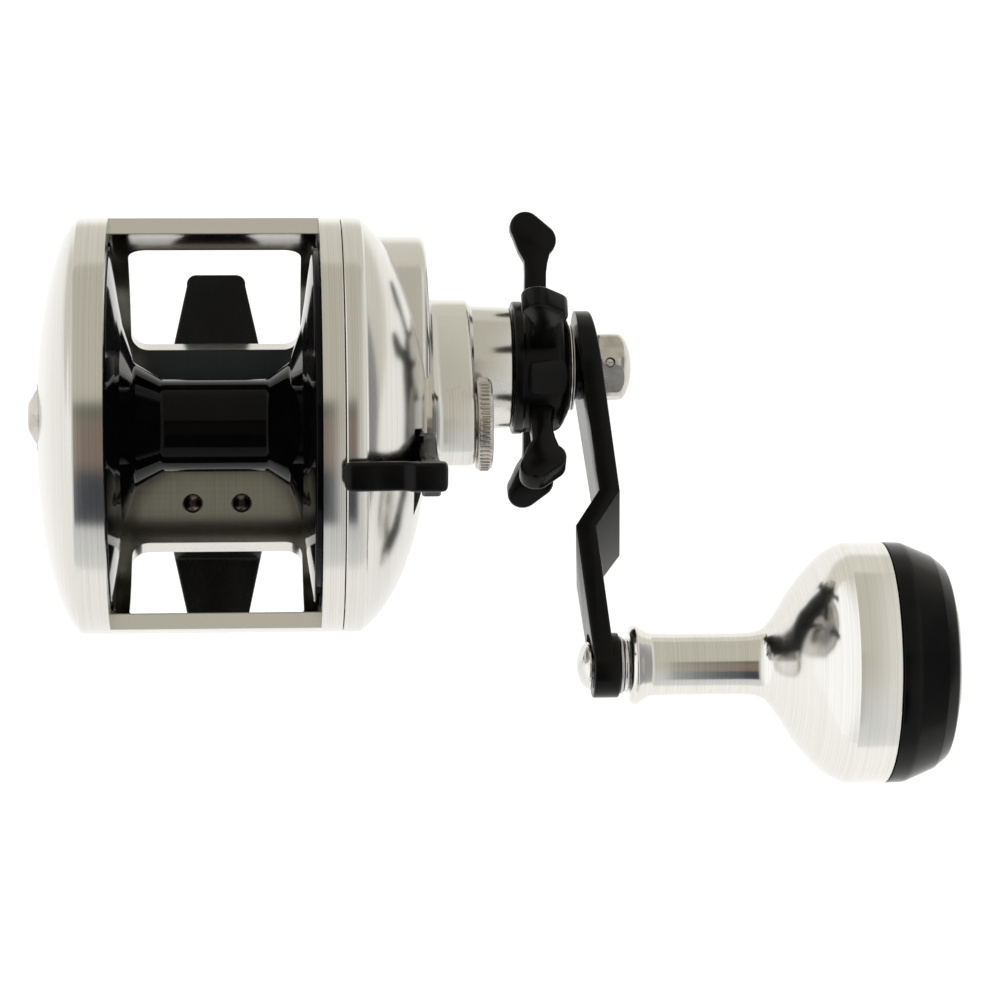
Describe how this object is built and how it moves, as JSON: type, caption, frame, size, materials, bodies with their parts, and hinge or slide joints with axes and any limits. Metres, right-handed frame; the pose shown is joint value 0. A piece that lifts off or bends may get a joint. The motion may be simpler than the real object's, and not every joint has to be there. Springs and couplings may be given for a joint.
{
  "type": "trolling reel",
  "caption": "Star-drag trolling reel: open aluminium frame with a black spool, domed side plate with gear case, tapered foot and offset crank with a trumpet-shaped power knob.",
  "frame": {"origin": "centre of the reel foot's flat underside", "axes": "+X along the spool axis towards the handle, +Y forward towards the rod tip, +Z away from the rod"},
  "size_m": [0.1704, 0.107, 0.0845],
  "materials": {
    "silver": "clear-anodised, fine turned grain",
    "black_anodised": "polished black anodising",
    "black_satin": "satin black",
    "nickel": "satin nickel plating",
    "steel": "satin steel",
    "brass": "machined",
    "fibre": "woven fibre composite, matt"
  },
  "bodies": {
    "frame": {"frame": "silver", "reel_foot": "black_satin", "foot_screw_1": "black_satin", "foot_screw_2": "black_satin", "foot_screw_3": "black_satin", "foot_screw_4": "black_satin", "side_plate": "silver", "side_plate_screw_1": "steel", "side_plate_screw_2": "steel", "side_plate_screw_3": "steel", "side_plate_screw_4": "steel", "gear_plate": "silver", "gear_shaft_bush": "brass", "left_spool_bearing": "steel", "right_spool_bearing": "steel", "inner_crank_bearing": "steel", "outer_crank_bearing": "steel", "yoke_post_1": "steel", "yoke_post_2": "steel", "yoke_spring_1": "steel", "yoke_spring_2": "steel", "click_spring": "steel"},
    "drive": {"gear_shaft": "steel", "ratchet_wheel": "steel", "main_gear": "brass", "fibre_drag_washer_1": "fibre", "fibre_drag_washer_2": "fibre", "steel_drag_washer": "steel", "pressure_washer": "steel", "spring_washer": "steel", "spacer_sleeve": "steel", "handle_washer_1": "steel", "handle_washer_2": "steel", "handle_arm": "black_satin", "handle_nut": "nickel", "nut_lock_screw": "steel", "knob_spindle": "nickel", "knob_nut": "steel", "knob_washer_1": "nickel", "knob_washer_2": "nickel"},
    "spool_group": {"spool": "black_anodised", "click_gear": "brass", "spool_shaft": "steel", "drive_pin": "steel"},
    "yoke": {"clutch_yoke": "steel"},
    "pinion": {"pinion": "brass"},
    "lever": {"clutch_lever": "black_satin", "clutch_cam": "steel", "lever_screw": "steel"},
    "star": {"star_drag_wheel": "black_satin", "star_nut": "steel"},
    "knob": {"knob_body": "silver", "knob_bearing_1": "steel", "knob_bearing_2": "steel", "knob_grip_ring": "black_anodised", "knob_end_cap": "nickel"},
    "tension_cap": {"tension_cap": "nickel"},
    "click": {"click_button": "nickel", "click_pawl": "brass"},
    "dog": {"anti_reverse_dog": "steel"}
  },
  "joints": [
    {"name": "crank_spin", "type": "hinge", "parent": "frame", "child": "drive", "pos_m": [0, 0.0128, 0.0223], "axis": [1, 0, 0], "continuous": true},
    {"name": "spool_spin", "type": "hinge", "parent": "frame", "child": "spool_group", "pos_m": [0, 0, 0.0397], "axis": [1, 0, 0], "continuous": true},
    {"name": "lever_turn", "type": "hinge", "parent": "frame", "child": "lever", "pos_m": [0, 0, 0.0397], "axis": [1, 0, 0], "range_deg": [0, 20]},
    {"name": "yoke_lift", "type": "slide", "parent": "frame", "child": "yoke", "axis": [1, 0, 0], "range_m": [0, 0.0016], "deforming": ["yoke_spring_1", "yoke_spring_2"]},
    {"name": "pinion_spin", "type": "hinge", "parent": "yoke", "child": "pinion", "pos_m": [0, 0, 0.0397], "axis": [1, 0, 0], "continuous": true},
    {"name": "star_turn", "type": "hinge", "parent": "drive", "child": "star", "pos_m": [0, 0.0128, 0.0223], "axis": [1, 0, 0], "range_deg": [-180, 180]},
    {"name": "knob_spin", "type": "hinge", "parent": "drive", "child": "knob", "pos_m": [0, -0.0427, 0.0223], "axis": [1, 0, 0], "continuous": true},
    {"name": "tension_turn", "type": "hinge", "parent": "frame", "child": "tension_cap", "pos_m": [0, 0, 0.0397], "axis": [1, 0, 0], "range_deg": [-180, 180]},
    {"name": "click_slide", "type": "slide", "parent": "frame", "child": "click", "axis": [0, 0, -1], "range_m": [0, 0.0032]},
    {"name": "dog_swing", "type": "hinge", "parent": "frame", "child": "dog", "pos_m": [0, 0.024, 0.0139], "axis": [1, 0, 0], "range_deg": [-12, 0]}
  ],
  "couplings": [
    {"joint": "spool_spin", "follows": "crank_spin", "ratio": -5},
    {"joint": "pinion_spin", "follows": "crank_spin", "ratio": -5},
    {"joint": "yoke_lift", "follows": "lever_turn", "m_per_rad": 0.004583}
  ]
}
